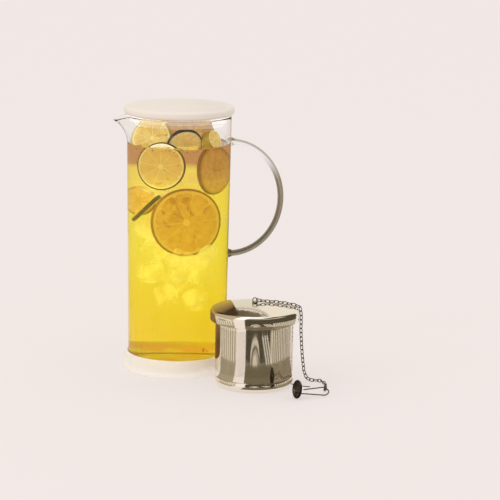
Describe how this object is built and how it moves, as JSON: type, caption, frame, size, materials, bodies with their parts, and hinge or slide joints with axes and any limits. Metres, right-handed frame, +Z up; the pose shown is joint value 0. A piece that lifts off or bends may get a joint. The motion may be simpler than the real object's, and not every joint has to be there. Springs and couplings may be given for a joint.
{
  "type": "iced tea maker",
  "caption": "Tall clear glass jug for iced tea with a round glass handle, a spout, a lift-off lid and a soft boot, beside a steel capsule infuser whose domed lid holds a chain with a hook.",
  "frame": {"origin": "centre of the jug's flat underside, on the table", "axes": "+Z up along the jug's axis; +X towards the handle and -X towards the spout; the infuser stands in front of the jug, towards -Y and +X"},
  "size_m": [0.1967, 0.1694, 0.246],
  "materials": {
    "glass": "clear blown glass",
    "boot_plastic": "milky clear soft plastic",
    "lid_plastic": "smooth warm white plastic",
    "seal_silicone": "clear silicone",
    "plug_plastic": "smooth warm white plastic",
    "polished_steel": "polished stainless steel",
    "perforated_steel": "polished stainless steel with a fine perforation",
    "chain_steel": "bright drawn wire",
    "dark_steel": "polished, reflecting the dark"
  },
  "bodies": {
    "jug": {"jug_glass": "glass", "glass_handle": "glass", "base_boot": "boot_plastic"},
    "sealing_ring": {"lid_seal": "seal_silicone"},
    "jug_lid": {"lid_disc": "lid_plastic", "lid_plug": "plug_plastic"},
    "capsule": {"infuser_wall": "perforated_steel", "infuser_floor": "polished_steel"},
    "capsule_lid": {"infuser_lid": "polished_steel", "lid_spigot": "polished_steel", "lid_eyelet": "chain_steel"},
    "chain_upper": {"chain_link_01": "chain_steel", "chain_link_02": "chain_steel", "chain_link_03": "chain_steel", "chain_link_04": "chain_steel", "chain_link_05": "chain_steel", "chain_link_06": "chain_steel", "chain_link_07": "chain_steel", "chain_link_08": "chain_steel", "chain_link_09": "chain_steel", "chain_link_10": "chain_steel"},
    "chain_hanging": {"chain_link_11": "chain_steel", "chain_link_12": "chain_steel", "chain_link_13": "chain_steel", "chain_link_14": "chain_steel", "chain_link_15": "chain_steel", "chain_link_16": "chain_steel", "chain_link_17": "chain_steel", "chain_link_18": "chain_steel", "chain_link_19": "chain_steel", "chain_link_20": "chain_steel", "chain_link_21": "chain_steel", "chain_link_22": "chain_steel", "chain_link_23": "chain_steel", "chain_link_24": "chain_steel", "chain_link_25": "chain_steel", "chain_link_26": "chain_steel", "chain_link_27": "chain_steel", "chain_link_28": "chain_steel"},
    "chain_lying": {"chain_link_29": "chain_steel", "chain_link_30": "chain_steel", "chain_link_31": "chain_steel", "chain_link_32": "chain_steel", "chain_link_33": "chain_steel", "chain_link_34": "chain_steel", "chain_link_35": "chain_steel", "chain_link_36": "chain_steel", "chain_link_37": "chain_steel", "chain_link_38": "chain_steel", "chain_link_39": "chain_steel", "chain_link_40": "chain_steel", "chain_link_41": "chain_steel"},
    "hook": {"hook_ring": "chain_steel", "hook_wire": "chain_steel", "hook_keeper": "chain_steel", "hook_disc": "dark_steel"}
  },
  "joints": [
    {"name": "lid_lift", "type": "slide", "parent": "jug", "child": "sealing_ring", "axis": [0, 0, 1], "range_m": [0, 0.12]},
    {"name": "lid_turn", "type": "hinge", "parent": "sealing_ring", "child": "jug_lid", "pos_m": [0, 0, 0.238], "axis": [0, 0, 1], "continuous": true},
    {"name": "infuser_lift", "type": "slide", "parent": "jug", "child": "capsule", "axis": [0, 0, 1], "range_m": [0, 0.25]},
    {"name": "infuser_lid_lift", "type": "slide", "parent": "capsule", "child": "capsule_lid", "axis": [0, 0, 1], "range_m": [0, 0.06]},
    {"name": "chain_swing", "type": "hinge", "parent": "capsule_lid", "child": "chain_upper", "pos_m": [0.0721, -0.0625, 0.0787], "axis": [0, 0, 1], "range_deg": [-12, 20]},
    {"name": "chain_drop", "type": "hinge", "parent": "chain_upper", "child": "chain_hanging", "pos_m": [0.11012, -0.05911, 0.07088], "axis": [0, -1, 0], "range_deg": [0, 50]},
    {"name": "chain_sweep", "type": "hinge", "parent": "chain_hanging", "child": "chain_lying", "pos_m": [0.1217, -0.05403, 0.00248], "axis": [0, 0, 1], "range_deg": [-10, 20]},
    {"name": "hook_turn", "type": "hinge", "parent": "chain_lying", "child": "hook", "pos_m": [0.1324, -0.0952, 0.0049], "axis": [0, 0, 1], "range_deg": [-12, 20]}
  ]
}
